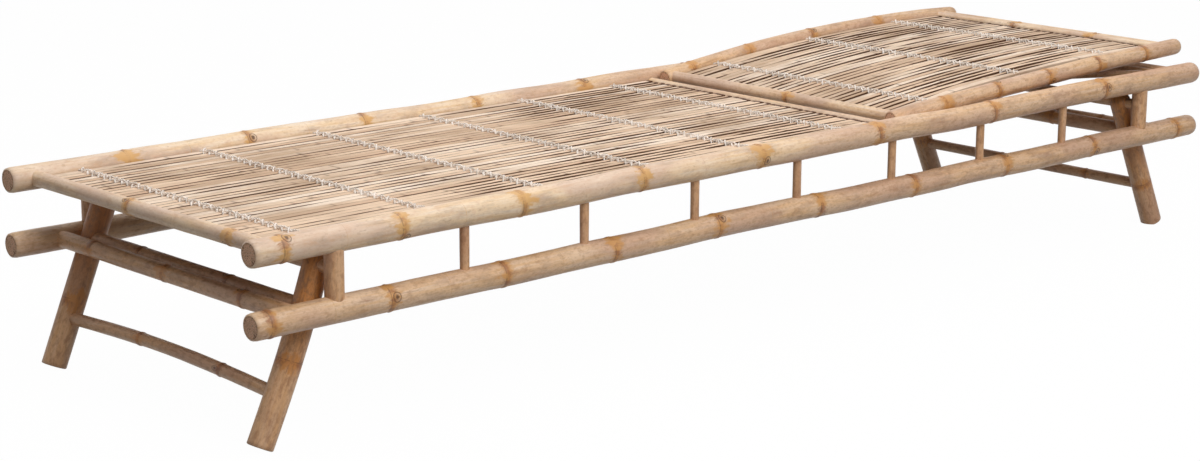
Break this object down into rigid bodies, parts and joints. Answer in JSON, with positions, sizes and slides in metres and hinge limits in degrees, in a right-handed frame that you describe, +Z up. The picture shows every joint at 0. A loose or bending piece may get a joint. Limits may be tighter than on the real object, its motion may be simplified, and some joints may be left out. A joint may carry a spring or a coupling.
{
  "type": "sun lounger",
  "caption": "Long low bamboo sun lounger with a lashed slat seat, a hinged backrest held up by a prop on notched racks, and splayed leg frames that fold in underneath.",
  "frame": {"origin": "on the floor under the middle of the lounger", "axes": "+X along the lounger from the foot end to the head end, +Y across to the right side of a person lying on it, +Z up"},
  "size_m": [2, 0.6116, 0.3285],
  "materials": {
    "culm": "peeled bamboo, satin",
    "bar": "peeled bamboo, satin",
    "slat": "split bamboo, dull",
    "rack": "plain wood, dull",
    "cord": "twisted cord, dull",
    "pin": "plain steel rod"
  },
  "bodies": {
    "frame": {"foot_crossbar": "bar", "front_pivot_rod": "bar", "front_stop_bar": "bar", "head_crossbar": "bar", "left_front_post": "bar", "left_lower_rail": "culm", "left_prop_rack": "rack", "left_rear_post": "bar", "left_spindle_1": "bar", "left_spindle_2": "bar", "left_spindle_3": "bar", "left_spindle_4": "bar", "left_spindle_5": "bar", "left_spindle_6": "bar", "left_spindle_7": "bar", "left_upper_rail": "culm", "rack_pegs": "rack", "rear_pivot_rod": "bar", "rear_stop_bar": "bar", "right_front_post": "bar", "right_lower_rail": "culm", "right_prop_rack": "rack", "right_rear_post": "bar", "right_spindle_1": "bar", "right_spindle_2": "bar", "right_spindle_3": "bar", "right_spindle_4": "bar", "right_spindle_5": "bar", "right_spindle_6": "bar", "right_spindle_7": "bar", "right_upper_rail": "culm", "seat_bearers": "bar", "seat_end_crossbar": "bar", "seat_lashings": "cord", "seat_slats": "slat"},
    "front_legs": {"front_lower_stretcher": "bar", "front_upper_stretcher": "bar", "left_front_leg": "culm", "right_front_leg": "culm"},
    "rear_legs": {"left_rear_leg": "culm", "rear_lower_stretcher": "bar", "rear_upper_stretcher": "bar", "right_rear_leg": "culm"},
    "backrest": {"backrest_bearer_1": "bar", "backrest_bearer_2": "bar", "backrest_bearer_3": "bar", "backrest_hinge_bar": "bar", "backrest_lashings": "cord", "backrest_slats": "slat", "inner_head_bar": "bar", "left_backrest_rail": "culm", "outer_head_bar": "bar", "prop_pivot_rod": "pin", "right_backrest_rail": "culm"},
    "prop": {"left_prop_arm": "bar", "prop_foot_bar": "bar", "right_prop_arm": "bar"}
  },
  "joints": [
    {"name": "backrest_recline", "type": "hinge", "parent": "frame", "child": "backrest", "pos_m": [0.254, 0, 0.278], "axis": [0, -1, 0], "range_deg": [0, 55]},
    {"name": "prop_swing", "type": "hinge", "parent": "backrest", "child": "prop", "pos_m": [0.59782, 0, 0.29912], "axis": [0, 1, 0], "range_deg": [0, 110]},
    {"name": "front_leg_fold", "type": "hinge", "parent": "frame", "child": "front_legs", "pos_m": [-0.87, 0, 0.23], "axis": [0, -1, 0], "range_deg": [0, 112]},
    {"name": "rear_leg_fold", "type": "hinge", "parent": "frame", "child": "rear_legs", "pos_m": [0.85, 0, 0.23], "axis": [0, 1, 0], "range_deg": [0, 115]}
  ],
  "couplings": [
    {"joint": "prop_swing", "follows": "backrest_recline", "ratio": 2}
  ]
}
